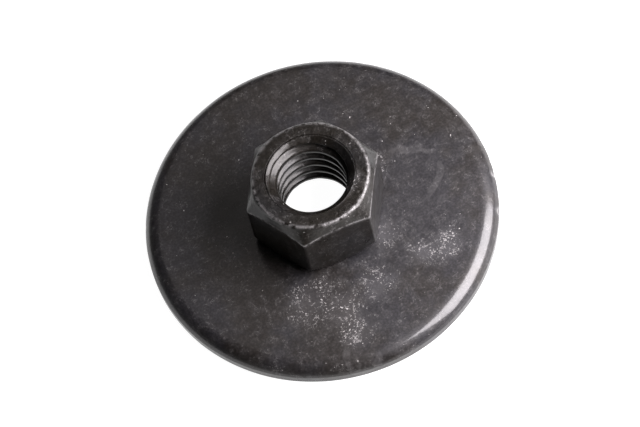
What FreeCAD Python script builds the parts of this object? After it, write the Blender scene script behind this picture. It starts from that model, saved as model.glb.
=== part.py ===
import FreeCAD, Part
import math
import os

# Hexagon nut with a captive round plate washer, in millimetres.
# The washer's underside lies at z = 0, and +Z runs up the thread towards the nut's open face.
# Two pieces: the plate washer, and the nut that turns in it. The nut is kept by its own collar,
# which passes through the washer and is flared out into a countersink on the washer's underside.
# The 3/8-16 UNC thread is left as a plain bore on its crests, at the minor diameter.

# Plate washer
plate_diameter = 41.3
plate_thickness = 2.3
plate_shoulder_width = 1.8
plate_shoulder_fall = 1.1
plate_lower_edge_break = 0.15

# Nut, 9/16 in across the flats
across_flats = 14.29
nut_height_above_plate = 9.2
thread_minor_diameter = 7.80

# Open face: a flat ring stands on a low round boss, over a crown that falls to the corners,
# and the bore opens into it as a bell mouth
ring_outer_radius = 6.78
boss_fall = 1.40
corner_fall = 1.98
mouth_radius = 5.27
mouth_depth = 2.75

# Foot: a bearing ring, with the corners cut back above it
foot_ring_radius = 6.9
foot_corner_rise = 1.1

# Collar, its flare, the open tail of the bore, and the running fit between the two pieces
bearing_gap = 0.05
collar_radius = 5.85
collar_clearance = 0.08
flare_radius = 6.95
flare_start_height = 1.15
collar_end_height = 0.10
tail_radius = 6.0
tail_depth = 2.85

plate_radius = plate_diameter / 2
flat_radius = across_flats / 2
corner_radius = flat_radius / math.cos(math.pi / 6)
minor_radius = thread_minor_diameter / 2
nut_foot = plate_thickness + bearing_gap
nut_top = plate_thickness + nut_height_above_plate
mouth_start = nut_top - mouth_depth
tail_end = collar_end_height + tail_depth
centre = FreeCAD.Vector(0, 0, 0)
up = FreeCAD.Vector(0, 0, 1)


def point(radius, height):
    """A point of a half section: radius along +X, height along +Z."""
    return FreeCAD.Vector(radius, 0, height)


def lines(points):
    """Straight edges through the points in order."""
    return [Part.makeLine(a, b) for a, b in zip(points[:-1], points[1:])]


def turned(edges):
    """The solid that a closed half section, given as its edges, sweeps about the Z axis."""
    return Part.Face(Part.Wire(edges)).revolve(centre, up, 360)


def quarter_ellipse(long_end, short_end, middle):
    """Edge of a quarter of an ellipse, from the end of its long half axis to that of the short."""
    return Part.ArcOfEllipse(Part.Ellipse(long_end, short_end, middle), 0, math.pi / 2).toShape()


def make_plate_washer():
    """Flat disc with a rolled top shoulder, a plain bore and a countersink underneath."""
    bore = collar_radius + collar_clearance
    flare_slope = (flare_radius - collar_radius) / (flare_start_height - collar_end_height)
    countersink = bore + flare_slope * flare_start_height
    outline = [
        point(plate_radius - plate_shoulder_width, plate_thickness),
        point(bore, plate_thickness),
        point(bore, flare_start_height),
        point(countersink, 0),
        point(plate_radius - plate_lower_edge_break, 0),
        point(plate_radius, plate_lower_edge_break),
        point(plate_radius, plate_thickness - plate_shoulder_fall),
    ]
    shoulder_middle = point(outline[0].x, outline[-1].z)
    shoulder = quarter_ellipse(outline[-1], outline[0], shoulder_middle)
    return turned(lines(outline) + [shoulder])


def make_hexagon():
    """Six-sided bar the size of the nut, with a corner on +X."""
    angles = [k * math.pi / 3 for k in range(7)]
    corners = [FreeCAD.Vector(math.cos(a), math.sin(a), 0) * corner_radius for a in angles]
    return Part.Face(Part.makePolygon(corners)).extrude(up * nut_top)


def make_hex_nut():
    """The nut with its bore and collar, as a turned form that is cut to the hexagon."""
    outline = [
        point(mouth_radius, nut_top),
        point(ring_outer_radius, nut_top),
        point(flat_radius, nut_top - boss_fall),
        point(corner_radius, nut_top - corner_fall),
        point(corner_radius, plate_thickness + foot_corner_rise),
        point(foot_ring_radius, nut_foot),
        point(collar_radius, nut_foot),
        point(collar_radius, flare_start_height),
        point(flare_radius, collar_end_height),
        point(tail_radius, collar_end_height),
        point(minor_radius, tail_end),
        point(minor_radius, mouth_start),
    ]
    mouth = quarter_ellipse(outline[0], outline[-1], point(mouth_radius, mouth_start))
    turned_form = turned(lines(outline) + [mouth])
    return turned_form.common(make_hexagon()).Solids[0]


os.makedirs("parts", exist_ok=True)
pieces = {"plate_washer": make_plate_washer(), "hex_nut": make_hex_nut()}
for name, shape in pieces.items():
    shape.exportStep(os.path.join("parts", name + ".step"))
    print(name, shape.ShapeType, "valid", shape.isValid(), "volume", round(shape.Volume, 1))
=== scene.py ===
"""A hexagon nut that turns in a large round plate washer, both of oiled black steel.

The CAD part gives the sizes, the places and the motion. The two surfaces are worked out again
here with the rounded edges, dents, waviness and thread that the finished pieces have.
"""

import math

import bpy
import numpy as np
from mathutils import Matrix, Vector


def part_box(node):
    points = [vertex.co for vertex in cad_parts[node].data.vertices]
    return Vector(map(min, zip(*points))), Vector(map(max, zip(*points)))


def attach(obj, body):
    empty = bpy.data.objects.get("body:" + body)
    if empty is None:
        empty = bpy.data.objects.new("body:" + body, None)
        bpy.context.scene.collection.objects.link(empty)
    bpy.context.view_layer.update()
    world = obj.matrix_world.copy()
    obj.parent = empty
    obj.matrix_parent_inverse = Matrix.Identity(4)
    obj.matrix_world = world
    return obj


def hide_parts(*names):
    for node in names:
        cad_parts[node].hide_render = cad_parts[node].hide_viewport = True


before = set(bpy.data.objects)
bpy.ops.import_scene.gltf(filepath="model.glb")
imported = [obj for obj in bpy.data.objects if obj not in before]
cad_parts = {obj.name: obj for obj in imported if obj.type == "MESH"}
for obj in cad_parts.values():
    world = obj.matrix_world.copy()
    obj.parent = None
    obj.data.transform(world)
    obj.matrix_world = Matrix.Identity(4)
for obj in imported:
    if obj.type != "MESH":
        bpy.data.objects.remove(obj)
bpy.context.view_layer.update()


# ---------------------------------------------------------------------------------------------
# Plate washer: a disc stamped from steel sheet, with a shoulder that the press rolled round.
# It is countersunk underneath, where the nut's collar is flared into it. The surface is a closed
# ring: rings of points go once round the section, and each ring goes once round the axis.

MM = 0.001
plate_low, plate_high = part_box("plate_washer")
PLATE_RADIUS = (plate_high.x - plate_low.x) / 2
PLATE_TOP = plate_high.z
PLATE_BORE = 5.93 * MM
PLATE_COUNTERSINK = 7.135 * MM
BORE_FLOOR = 1.15 * MM

# Chips in the rim: degrees round the axis, level as a share of the thickness, and then the
# size and the depth in millimetres
RIM_CHIPS = [(-11.9, 0.55, 0.36, 0.20), (-25.3, 0.45, 0.42, 0.22)]


def rounded_section(corners, radii, step, most=0.48):
    """Points once round a closed outline of (radius, height) corners.

    Each corner C is replaced by the curve (1-t)^2 A + 2t(1-t) C + t^2 B. A and B lie on the runs
    before and after it, as far from it as its pair of radii says, and take at most that share of
    the run. Runs and curves are cut into pieces about step long. Corners are arrays, one value
    per direction round the axis.
    """
    corners = [np.stack(np.broadcast_arrays(*corner), axis=-1).astype(float) for corner in corners]
    count = len(corners)
    points = []
    for i in range(count):
        before, here, after = corners[i - 1], corners[i], corners[(i + 1) % count]
        ends = []
        for other, cut in zip((before, after), radii[i]):
            run = other - here
            length = np.linalg.norm(run, axis=-1, keepdims=True) + 1e-9
            ends.append(here + run / length * np.minimum(cut, most * length))
        start, end = ends
        bends = max(3, int(round(sum(radii[i]) / step[i])))
        for t in np.linspace(0, 1, bends + 1):
            points.append((1 - t) ** 2 * start + 2 * t * (1 - t) * here + t ** 2 * end)
        run = after - here
        length = np.linalg.norm(run, axis=-1, keepdims=True) + 1e-9
        next_cut = np.minimum(radii[(i + 1) % count][0], most * length)
        following = after - run / length * next_cut
        longest = float(np.max(np.linalg.norm(following - end, axis=-1)))
        pieces = max(1, int(round(longest / step[i])))
        for t in np.arange(1, pieces) / pieces:
            points.append(end + (following - end) * t)
    return np.array(points)


def closed_ring(name, points):
    """A mesh from points[ring, direction, xyz], closed both round the section and round the axis.

    The faces join each point to the next ring and the next direction, and face outwards when the
    section runs clockwise as seen with the radius to the right and the height upwards.
    """
    rings, directions = points.shape[:2]
    ring = np.arange(rings)[:, None]
    along = np.arange(directions)[None, :]
    here = ring * directions + along
    beside = ring * directions + (along + 1) % directions
    below = (ring + 1) % rings * directions + along
    opposite = (ring + 1) % rings * directions + (along + 1) % directions
    faces = np.stack([here, below, opposite, beside], axis=-1).reshape(-1, 4)
    mesh = bpy.data.meshes.new(name)
    mesh.from_pydata(points.reshape(-1, 3).tolist(), [], faces.tolist())
    mesh.shade_smooth()
    piece = bpy.data.objects.new(name, mesh)
    bpy.context.scene.collection.objects.link(piece)
    return piece


def ripple(x, y, size, seed, waves=24):
    """A smooth random surface from 0 to 1: the mean of sines in seeded random directions."""
    draw = np.random.default_rng(seed)
    total = np.zeros(np.broadcast(x, y).shape)
    for _ in range(waves):
        angle = draw.uniform(0, 2 * math.pi)
        rate = 2 * math.pi / (size * draw.uniform(0.6, 1.6))
        phase = draw.uniform(0, 2 * math.pi)
        total += np.sin((x * math.cos(angle) + y * math.sin(angle)) * rate + phase)
    contrast = 1.6
    return np.clip(0.5 + total / waves * contrast, 0, 1)


def dent(distance, size):
    """Depth from 0 to 1 of a round dent: a bell curve of the distance from its middle."""
    return np.exp(-((distance / size) ** 2))


def make_plate():
    """The plate: its section turned about the axis, then dented and rippled inwards only.

    The shoulder is one curve from the flat top to a slope of 60 degrees, and ends in a fine edge
    above the upright band that the shears left. The top sinks by a broad and a fine ripple. The
    rim is pushed in by a ripple, by small dents at seeded random places, and by the chips.
    """
    directions = 720
    angle = np.arange(directions) * 2 * math.pi / directions
    inner, outer, top = PLATE_BORE, PLATE_RADIUS, PLATE_TOP
    slope_run, slope_fall = 0.70 * MM, 1.21 * MM
    corners = [
        (inner, BORE_FLOOR), (inner, top), (outer - slope_run, top), (outer, top - slope_fall),
        (outer, 0.0), (PLATE_COUNTERSINK, 0.0),
    ]
    radii = [(0.1, 0.1), (0.15, 0.15), (1.3, 1.15), (0.06, 0.08), (0.16, 0.16), (0.1, 0.1)]
    radii = [(before * MM, after * MM) for before, after in radii]
    step = [s * MM for s in (0.3, 0.3, 0.13, 0.1, 0.6, 0.3)]
    section = rounded_section(corners, radii, step, most=0.9)
    radius = section[:, 0:1]
    height = section[:, 1:2]
    cosine, sine = np.cos(angle)[None, :], np.sin(angle)[None, :]
    x, y = radius * cosine, radius * sine

    bore_edge = 0.2 * MM
    upper = np.clip(height / top * 1.2 - 0.1, 0, 1)
    broad = ripple(x, y, 9 * MM, seed=3) * 0.035 * MM
    fine = ripple(x, y, 2.6 * MM, seed=4) * 0.008 * MM
    drop = (broad + fine) * upper * (radius > inner + bore_edge)

    rim_width = 1.4 * MM
    rim = np.clip((radius - outer + rim_width) / rim_width, 0, 1)
    inset = rim * ripple(angle[None, :] * outer, height, 5 * MM, seed=5) * 0.02 * MM
    draw = np.random.default_rng(11)
    dents = [
        (draw.uniform(0, 360), draw.uniform(0.35, 0.9), draw.uniform(0.12, 0.3),
         draw.uniform(0.02, 0.06))
        for _ in range(26)
    ]
    for degrees, level, size, depth in dents + RIM_CHIPS:
        off_middle = np.angle(np.exp(1j * (angle - math.radians(degrees))))
        distance = np.hypot(off_middle[None, :] * outer, height - level * top)
        inset = inset + rim * depth * MM * dent(distance, size * MM)

    near_rim = radius > 0.8 * outer
    near_top = height > 0.4 * top
    radius = radius - inset * near_rim
    height = height - drop * near_top
    points = np.stack([radius * cosine, radius * sine, np.broadcast_to(height, x.shape)], axis=-1)
    return closed_ring("washer_plate", points)


def new_material(name):
    """An empty node material, with its node tree, shader and a function that adds nodes to it."""
    material = bpy.data.materials.new(name)
    material.use_nodes = True
    tree = material.node_tree
    shader = tree.nodes["Principled BSDF"]

    def add(kind, inputs=None, **settings):
        """A new node with its settings; inputs are values, or sockets to link from."""
        node = tree.nodes.new("ShaderNode" + kind)
        for setting, value in settings.items():
            setattr(node, setting, value)
        for key, value in (inputs or {}).items():
            if isinstance(value, bpy.types.NodeSocket):
                tree.links.new(value, node.inputs[key])
            else:
                node.inputs[key].default_value = value
        return node

    return material, tree, shader, add


def black_steel(name, warm, cool, scale, roughest, gloss, coat, powder_places, smears=()):
    """Oiled black oxide on steel: brown-black to blue-black, mottled, with pale powdery scuffs.

    Warm and cool are the oxide's two colours, and scale is how much grey mill scale shows
    through. Roughest is the roughness of the dullest smudges, gloss the specular level of the
    oxide, and coat how much oil lies on top. Powder gathers round powder_places, each a centre
    and a reach. A smear is a dried arc of oil, given as the centre and radius of its circle and
    the middle of the gap in it. The rubbed-edge attribute is where edges are rubbed towards bare
    steel, and on the nut it also paints highlights along the ring's and the crown's edges. The
    attribute pitting is where scale has left pits.
    """
    scale_grey = (0.050, 0.047, 0.048, 1)
    powder_grey = (0.60, 0.58, 0.57, 1)
    dust_grey = (0.30, 0.29, 0.30, 1)
    dried_oil = (0.30, 0.29, 0.29, 1)
    rub_and_glint_grey = (0.34, 0.33, 0.33, 1)
    material, tree, shader, add = new_material(name)
    place = add("TexCoord").outputs["Object"]

    def noise(rate, detail=4.0, rough=0.6):
        """Cloudy noise from 0 to 1, with about that many clouds to the metre."""
        return add("TexNoise", {"Vector": place, "Scale": rate, "Detail": detail,
                                "Roughness": rough}).outputs["Fac"]

    def ramp(value, low, high, to_low=0.0, to_high=1.0):
        """A smooth change from to_low to to_high while the value goes from low to high."""
        return add("MapRange", {"Value": value, "From Min": low, "From Max": high,
                                "To Min": to_low, "To Max": to_high},
                   interpolation_type="SMOOTHSTEP").outputs["Result"]

    def maths(operation, a, b=0.0):
        """The result of one sum on two values."""
        return add("Math", {0: a, 1: b}, operation=operation).outputs[0]

    def times(a, b):
        """The product of two values."""
        return maths("MULTIPLY", a, b)

    def mix(factor, a, b, blend="MIX"):
        """Colour a with that share of colour b in it."""
        return add("Mix", {"Factor": factor, "A": a, "B": b}, data_type="RGBA",
                   blend_type=blend).outputs["Result"]

    def strongest(masks):
        """The largest of several values."""
        best = masks[0]
        for mask in masks[1:]:
            best = maths("MAXIMUM", best, mask)
        return best

    def bump(strength, depth, height, normal=None):
        """A normal that leans as the height changes, on top of another normal if there is one."""
        inputs = {"Strength": strength, "Distance": depth, "Height": height}
        if normal is not None:
            inputs["Normal"] = normal
        return add("Bump", inputs).outputs["Normal"]

    # The oxide: clouds of the two colours, then mill scale, then a fine grain
    cloud = ramp(noise(120.0), 0.40, 0.62)
    mottle = ramp(noise(900.0, 6.0), 0.38, 0.66)
    grain = ramp(noise(3600.0, 3.0, 0.7), 0.38, 0.66, 0.72, 1.35)
    colour = mix(cloud, warm, cool)
    colour = mix(times(mottle, scale), colour, scale_grey)
    colour = mix(1.0, colour, grain, blend="MULTIPLY")

    # Distances are measured from a place that wanders, so that no patch or arc is a true circle
    wander = (4 * MM, 4 * MM, 0.0)
    shift = add("VectorMath", {0: noise(260.0, 3.0), 1: wander}, operation="MULTIPLY")
    wandering = add("VectorMath", {0: place, 1: shift.outputs["Vector"]}, operation="ADD")
    wandering = wandering.outputs["Vector"]

    def distance(centre):
        """How far the wandering place is from a centre."""
        node = add("VectorMath", {0: wandering, 1: centre}, operation="DISTANCE")
        return node.outputs["Value"]

    # Powder: dense bits in patches, a few stray ones, single specks, and broken hairs, which lie
    # where a noise crosses its middle value
    near = strongest([
        ramp(distance(centre), reach, reach * 0.1) for centre, reach in powder_places
    ])
    patch = times(near, ramp(noise(560.0, 5.0, 0.65), 0.42, 0.60))
    stray = times(ramp(noise(330.0, 6.0, 0.7), 0.63, 0.70), 0.30)
    bits = ramp(noise(4200.0, 3.0, 0.75), 0.56, 0.66)
    specks = ramp(noise(2300.0, 2.0, 0.5), 0.745, 0.775)
    off_line = maths("ABSOLUTE", maths("SUBTRACT", noise(1500.0, 3.0, 0.6), 0.5))
    hairs = ramp(off_line, 0.016, 0.004)
    hairs = times(hairs, ramp(noise(900.0, 2.0), 0.52, 0.60))
    hairs = times(hairs, maths("MAXIMUM", near, 0.15))
    powder = times(maths("MAXIMUM", patch, stray), bits)
    powder = strongest([powder, times(specks, 0.6), times(hairs, 0.6)])
    dust_share = 0.08
    colour = mix(times(near, dust_share), colour, dust_grey)
    colour = mix(powder, colour, powder_grey)

    smear_share = 0.07
    for centre, radius, gap in smears:
        off_arc = maths("ABSOLUTE", maths("SUBTRACT", distance(centre), radius))
        arc = ramp(off_arc, 0.50 * MM, 0.30 * MM)
        arc = times(arc, ramp(distance(gap), radius, radius * 1.6))
        arc = times(arc, ramp(noise(500.0), 0.38, 0.50))
        colour = mix(times(arc, smear_share), colour, dried_oil)

    # Edges rubbed towards bare steel; on the nut the same lightening is also a painted highlight
    # along the ring's and the crown's edges
    wear_and_glint = add("Attribute", attribute_name="wear_and_glint").outputs["Fac"]
    rubbed_and_glint = times(wear_and_glint, ramp(noise(1500.0, 4.0), 0.35, 0.62))
    colour = mix(times(rubbed_and_glint, 0.6), colour, rub_and_glint_grey)

    # Roughness: smudges of oil, rougher on the mottle and on the powder
    smudge_range = 0.12
    smudge = ramp(noise(300.0, 5.0), 0.35, 0.65, roughest - smudge_range, roughest)
    roughness = maths("ADD", smudge, times(mottle, 0.08))
    roughness = maths("ADD", roughness, times(powder, 0.3))

    # Relief: the steel has fine and broad unevenness and pits; the oil has its own
    pitting = add("Attribute", attribute_name="pitting").outputs["Fac"]
    pits = times(pitting, ramp(noise(1500.0, 5.0, 0.7), 0.40, 0.66))
    fine = bump(0.35, 0.02 * MM, noise(3200.0, 4.0, 0.65))
    broad = bump(0.5, 0.05 * MM, noise(650.0, 5.0, 0.6), fine)
    pitted = bump(0.6, 0.05 * MM, pits, broad)
    oil = bump(0.25, 0.02 * MM, noise(2600.0, 3.0, 0.6))

    tree.links.new(colour, shader.inputs["Base Color"])
    tree.links.new(roughness, shader.inputs["Roughness"])
    tree.links.new(pitted, shader.inputs["Normal"])
    tree.links.new(oil, shader.inputs["Coat Normal"])
    shader.inputs["Metallic"].default_value = 0.3
    shader.inputs["Specular IOR Level"].default_value = gloss
    shader.inputs["Coat Weight"].default_value = coat
    shader.inputs["Coat Roughness"].default_value = 0.14
    return material


def store(piece, name, values):
    """Keeps one value from 0 to 1 for each point of the mesh, as an attribute of that name."""
    attribute = piece.data.attributes.new(name, "FLOAT", "POINT")
    attribute.data.foreach_set("value", np.ascontiguousarray(values, dtype=np.float32).ravel())


def positions(piece):
    """The mesh's points as an array of x, y, z."""
    flat = np.zeros(len(piece.data.vertices) * 3, np.float32)
    piece.data.vertices.foreach_get("co", flat)
    return flat.reshape(-1, 3).astype(float)


def plate_wear(points):
    """Wear from 0 to 1 at each point of the plate: a bell curve round each chip in the rim."""
    wear_and_glint = np.zeros(len(points))
    for degrees, level, _, _ in RIM_CHIPS:
        chip_x = math.cos(math.radians(degrees)) * PLATE_RADIUS
        chip_y = math.sin(math.radians(degrees)) * PLATE_RADIUS
        away = np.hypot(points[:, 0] - chip_x, points[:, 1] - chip_y)
        distance = np.hypot(away, points[:, 2] - level * PLATE_TOP)
        wear_and_glint = np.maximum(wear_and_glint, dent(distance, 0.4 * MM))
    return wear_and_glint


def on_plate(x, y):
    """A place on the plate's flat top, from millimetres along X and Y."""
    return (x * MM, y * MM, PLATE_TOP)


plate = make_plate()
plate_points = positions(plate)
store(plate, "wear_and_glint", plate_wear(plate_points))
store(plate, "pitting", np.zeros(len(plate_points)))
plate.data.materials.append(black_steel(
    "black_plate_steel",
    warm=(0.0125, 0.0102, 0.0090, 1),
    cool=(0.0150, 0.0142, 0.0168, 1),
    scale=0.20,
    roughest=0.52,
    gloss=0.5,
    coat=0.6,
    powder_places=[
        (on_plate(-3.4, -8.2), 4.2 * MM),
        (on_plate(-0.8, -10.6), 4.6 * MM),
        (on_plate(-0.5, -14.0), 3.0 * MM),
        (on_plate(4.6, -9.0), 3.0 * MM),
        (on_plate(7.6, -3.6), 3.0 * MM),
        (on_plate(10.5, -8.0), 2.6 * MM),
        (on_plate(13.5, -8.5), 2.6 * MM),
        (on_plate(9.2, 5.2), 3.4 * MM),
        (on_plate(-19.0, 3.5), 1.8 * MM),
        (on_plate(-11.5, -14.8), 2.2 * MM),
    ],
    smears=[
        (on_plate(-1.0, -17.0), 1.9 * MM, on_plate(0.0, -15.2)),
        (on_plate(13.5, 2.0), 3.4 * MM, on_plate(10.5, 1.0)),
    ],
))
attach(plate, "plate")
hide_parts("plate_washer")


# ---------------------------------------------------------------------------------------------
# Nut: cold-formed from bar, so that its corners and edges are soft, then threaded.
# A round boss with a flat ring tops it. Its collar goes down through the plate and is flared
# into the countersink below, which keeps the nut but lets it turn.

nut_low, nut_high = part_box("hex_nut")
NUT_TOP = nut_high.z
FLAT_RADIUS = (nut_high.y - nut_low.y) / 2
COLLAR_END = nut_low.z
NUT_FOOT = PLATE_TOP + 0.05 * MM
CROWN_FALL = 1.36 * MM
CROWN_SLOPE = 0.56
RING_RADIUS = 6.78 * MM
FOOT_RADIUS = 6.9 * MM
FOOT_SLOPE = 0.8
MOUTH_RADIUS = 5.27 * MM
MOUTH_DEPTH = 2.75 * MM
TAIL_RADIUS = 6.0 * MM
TAIL_DEPTH = 2.85 * MM
COLLAR_RADIUS = 5.85 * MM
FLARE_RADIUS = 6.95 * MM

# The thread: crest and root radius, pitch, and how far round it starts, in turns
THREAD_CREST = 3.90 * MM
THREAD_ROOT = 4.76 * MM
THREAD_PITCH = 25.4 / 16 * MM
THREAD_START = 0.64

# Knocks in the flat ring: x, y and size in millimetres
RING_DIMPLES = [
    (4.9, -3.0, 0.30), (5.4, -3.9, 0.26), (5.7, -2.6, 0.22), (4.2, -4.6, 0.20), (-6.3, 0.8, 0.20),
]


def hexagon_radius(angle):
    """Distance from the axis to a hexagon with rounded corners, one of them on +X.

    On a flat it is flat / cos(angle from the flat's middle). Near a corner it is the far crossing
    of the ray with a circle set on the corner's line, which touches both flats.
    """
    rounding = 0.42 * MM
    sixth = math.pi / 3
    off_corner = np.abs((angle + sixth / 2) % sixth - sixth / 2)
    on_flat = FLAT_RADIUS / np.cos(sixth / 2 - off_corner)
    middle = (FLAT_RADIUS - rounding) / math.cos(sixth / 2)
    touch = math.atan2(rounding * math.sin(sixth / 2), middle + rounding * math.cos(sixth / 2))
    under_root = np.maximum(rounding ** 2 - (middle * np.sin(off_corner)) ** 2, 0)
    on_corner = middle * np.cos(off_corner) + np.sqrt(under_root)
    return np.where(off_corner < touch, on_corner, on_flat)


def crown_height(hexagon):
    """Height of the hexagon's upper edge, which falls as the radius grows towards a corner."""
    return NUT_TOP - CROWN_FALL - (hexagon - FLAT_RADIUS) * CROWN_SLOPE


def open_section(corners, radii, step):
    """The stretch of a rounded section from its first corner to its last, ends included.

    The one long run, which closes the outline, is where the ring of points is opened.
    """
    closed = rounded_section(corners, radii, step)
    gap = np.linalg.norm(closed - np.roll(closed, 1, axis=0), axis=-1).max(axis=-1)
    start = int(np.argmax(gap))
    return np.roll(closed, -start, axis=0)


def nut_outside(hexagon):
    """Section of the nut's outside: ring, crown, flat, foot, collar and flare.

    The crown is ruled: each direction has one line from the ring's circle to the hexagon's edge,
    which falls further towards the corners. The foot rises towards the corners.
    """
    bearing_radius = 6.85 * MM
    bearing_step = 0.02 * MM
    foot = NUT_FOOT + bearing_step + np.maximum(hexagon - FOOT_RADIUS, 0) * FOOT_SLOPE
    corners = [
        (MOUTH_RADIUS, NUT_TOP), (RING_RADIUS, NUT_TOP), (hexagon, crown_height(hexagon)),
        (hexagon, foot), (bearing_radius, NUT_FOOT), (COLLAR_RADIUS, NUT_FOOT),
        (COLLAR_RADIUS, BORE_FLOOR), (FLARE_RADIUS, COLLAR_END), (TAIL_RADIUS, COLLAR_END),
    ]
    radii = [
        (0, 0.12), (0.40, 0.40), (0.13, 0.13), (0.15, 0.15), (0.1, 0.1), (0.1, 0.1), (0.2, 0.2),
        (0.12, 0.12), (0.08, 0),
    ]
    radii = [(before * MM, after * MM) for before, after in radii]
    step = [s * MM for s in (0.12, 0.12, 0.40, 0.25, 0.3, 0.4, 0.4, 0.4, 0.4)]
    corners = [(r + 0 * hexagon, z + 0 * hexagon) for r, z in corners]
    return open_section(corners, radii, step)


def nut_inside(angle):
    """Section of the nut's bore, from the flare up to the ring.

    The thread's flanks are straight lines blended with a smooth step, between a crest and a root
    that are both flat. The bore's radius at each height is the larger of the thread's and of the
    mouth's and the tail's, joined softly. The mouth opens as the cube of the height, and the tail
    opens evenly.
    """
    rings = 100
    end_gap = 0.05 * MM
    height = np.linspace(COLLAR_END + end_gap, NUT_TOP - end_gap, rings)[:, None]
    turn = height / THREAD_PITCH - angle[None, :] / (2 * math.pi) + THREAD_START
    phase = np.abs(turn % 1 - 0.5) * 2
    crest_share, flank_share, step_share = 0.25, 0.62, 0.35
    depth = np.clip((phase - crest_share) / flank_share, 0, 1)
    smooth = depth * depth * (3 - 2 * depth)
    depth = smooth * step_share + depth * (1 - step_share)
    thread = THREAD_CREST + (THREAD_ROOT - THREAD_CREST) * depth
    rise = np.clip((height - NUT_TOP + MOUTH_DEPTH) / MOUTH_DEPTH, 0, 1)
    mouth = THREAD_CREST + (MOUTH_RADIUS - THREAD_CREST) * rise ** 3
    tail = TAIL_RADIUS - (TAIL_RADIUS - THREAD_CREST) * (height - COLLAR_END) / TAIL_DEPTH
    envelope = np.maximum(mouth, tail)
    soft = 0.05 * MM
    most_added = 0.02 * MM
    bore = soft * np.logaddexp(thread / soft, envelope / soft)
    bore = np.minimum(bore, np.maximum(thread, envelope) + most_added)
    return np.stack([bore, np.broadcast_to(height, bore.shape)], axis=-1)


def make_nut():
    """The nut: its outside and its threaded bore, joined to one ring of points.

    The directions crowd towards the hexagon's corners, where the angle bends most. The flat ring
    on top is dimpled and rippled downwards only.
    """
    directions = 420
    crowding = 0.6
    even = np.arange(directions) * 2 * math.pi / directions
    angle = even - np.sin(6 * even) * crowding / 6
    section = np.concatenate([nut_outside(hexagon_radius(angle)), nut_inside(angle)], axis=0)
    radius, level = section[..., 0], section[..., 1]
    x, y = radius * np.cos(angle), radius * np.sin(angle)

    on_top = level > NUT_TOP - 0.8 * MM
    depth_share = 0.4
    dimple = np.zeros(level.shape)
    for place_x, place_y, size in RING_DIMPLES:
        distance = np.hypot(x - place_x * MM, y - place_y * MM)
        dimple = dimple + depth_share * size * MM * dent(distance, size * MM)
    uneven = ripple(x, y, 1.3 * MM, seed=8) * 0.03 * MM
    level = level - (dimple + uneven) * on_top
    return closed_ring("threaded_nut", np.stack([x, y, level], axis=-1))


def nut_wear_and_glint(points):
    """Wear and painted highlight from 0 to 1 at each point: bell curves across the ring's edge and
    the crown's edge.
    """
    ring_width, crown_width = 0.16 * MM, 0.12 * MM
    strongest_wear_and_glint = 0.8
    radius, level = np.hypot(points[:, 0], points[:, 1]), points[:, 2]
    hexagon = hexagon_radius(np.arctan2(points[:, 1], points[:, 0]))
    on_ring = level > NUT_TOP - 0.4 * MM
    ring_edge = dent(radius - RING_RADIUS + 0.10 * MM, ring_width) * on_ring
    crown_edge = dent(np.hypot(radius - hexagon, level - crown_height(hexagon)), crown_width)
    return np.maximum(ring_edge, crown_edge) * strongest_wear_and_glint


def nut_pitting(points):
    """Pitting from 0 to 1 at each point: full on the flat ring, and gone 0.5 mm below it."""
    near_top = np.clip((points[:, 2] - NUT_TOP + 0.5 * MM) / (0.3 * MM), 0, 1)
    return near_top * (np.hypot(points[:, 0], points[:, 1]) > MOUTH_RADIUS - 0.3 * MM)


nut = make_nut()
nut_points = positions(nut)
# The nut's ring and crown edges are lightened both as rubbed steel and as painted highlights
store(nut, "wear_and_glint", nut_wear_and_glint(nut_points))
store(nut, "pitting", nut_pitting(nut_points))
nut.data.materials.append(black_steel(
    "black_nut_steel",
    warm=(0.0095, 0.0080, 0.0062, 1),
    cool=(0.0100, 0.0095, 0.0095, 1),
    scale=0.10,
    roughest=0.38,
    gloss=0.30,
    coat=0.20,
    powder_places=[((6.0 * MM, -1.0 * MM, NUT_TOP), 1.6 * MM)],
))
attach(nut, "nut")
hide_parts("hex_nut")


# ---------------------------------------------------------------------------------------------
# Floor, lights and camera: a white table, a small soft panel close by on the right, a weaker and
# larger one high behind, and a long lens that looks down at the open face of the nut.

CAMERA_TURN = math.radians(-10.0)
CAMERA_RISE = math.radians(61.8)
CAMERA_ROLL = math.radians(15.3)
CAMERA_DISTANCE = 0.4625
LENS = 225.0
AIM_UP = -0.22 * MM
AIM_RIGHT = -0.02 * MM


def make_floor():
    """A flat square just under the plate, wide enough to fill every view.

    It gives off nearly all of its own white, and takes only a faint shadow.
    """
    half = 1.5
    level = -0.02 * MM
    mesh = bpy.data.meshes.new("floor")
    corners = [(-half, -half), (half, -half), (half, half), (-half, half)]
    mesh.from_pydata([(x, y, level) for x, y in corners], [], [(0, 1, 2, 3)])
    floor = bpy.data.objects.new("floor", mesh)
    bpy.context.scene.collection.objects.link(floor)
    material, _, shader, _ = new_material("pale_floor")
    shader.inputs["Base Color"].default_value = (0.25, 0.25, 0.25, 1)
    shader.inputs["Roughness"].default_value = 0.9
    shader.inputs["Emission Color"].default_value = (1, 1, 1, 1)
    shader.inputs["Emission Strength"].default_value = 0.98
    mesh.materials.append(material)


def around(azimuth, elevation, distance):
    """A point seen at that azimuth (0 is in front of the camera) and elevation, in degrees."""
    turn = math.radians(azimuth) + CAMERA_TURN - math.pi / 2
    rise = math.radians(elevation)
    flat = distance * math.cos(rise)
    return (flat * math.cos(turn), flat * math.sin(turn), distance * math.sin(rise))


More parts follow.
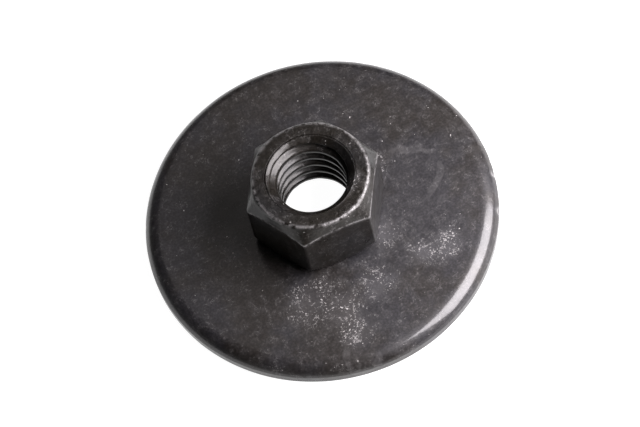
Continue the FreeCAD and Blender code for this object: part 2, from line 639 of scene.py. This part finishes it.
def soft_light(name, place, size, power, colour):
    """A soft panel that faces the plate's middle. The camera doesn't see the panel itself."""
    data = bpy.data.lights.new(name, "AREA")
    data.shape = "RECTANGLE"
    data.size, data.size_y = size
    data.energy = power
    data.color = colour
    light = bpy.data.objects.new(name, data)
    light.location = place
    light.rotation_euler = (-Vector(place)).to_track_quat("-Z", "Y").to_euler()
    light.visible_camera = False
    bpy.context.scene.collection.objects.link(light)


def make_camera():
    """A camera that looks at the plate's middle, leaning so that the nut points up and left."""
    back = Vector(around(0, math.degrees(CAMERA_RISE), 1.0))
    right = Vector((0, 0, 1)).cross(back).normalized()
    up = back.cross(right)
    leaned_right = right * math.cos(CAMERA_ROLL) - up * math.sin(CAMERA_ROLL)
    leaned_up = up * math.cos(CAMERA_ROLL) + right * math.sin(CAMERA_ROLL)
    aim = Vector((0, 0, PLATE_TOP)) + leaned_up * AIM_UP + leaned_right * AIM_RIGHT
    place = aim + back * CAMERA_DISTANCE
    data = bpy.data.cameras.new("camera")
    data.lens = LENS
    data.sensor_width = 36.0
    data.clip_start = 0.01
    camera = bpy.data.objects.new("camera", data)
    camera.matrix_world = Matrix((
        (leaned_right.x, leaned_up.x, back.x, place.x),
        (leaned_right.y, leaned_up.y, back.y, place.y),
        (leaned_right.z, leaned_up.z, back.z, place.z),
        (0, 0, 0, 1),
    ))
    bpy.context.scene.collection.objects.link(camera)
    bpy.context.scene.camera = camera


def make_world():
    """A faint warm light from all round."""
    world = bpy.data.worlds.new("studio")
    world.use_nodes = True
    background = world.node_tree.nodes["Background"]
    background.inputs["Color"].default_value = (1.0, 0.95, 0.90, 1)
    background.inputs["Strength"].default_value = 0.03
    bpy.context.scene.world = world


make_floor()
soft_light(
    "key", around(73, 42, 0.08), size=(0.075, 0.066), power=0.28, colour=(1.0, 0.955, 0.985)
)
soft_light(
    "back", around(172, 54, 0.30), size=(0.22, 0.20), power=0.058, colour=(1.0, 0.94, 0.92)
)
make_camera()
make_world()
bpy.context.scene.view_settings.view_transform = "Standard"
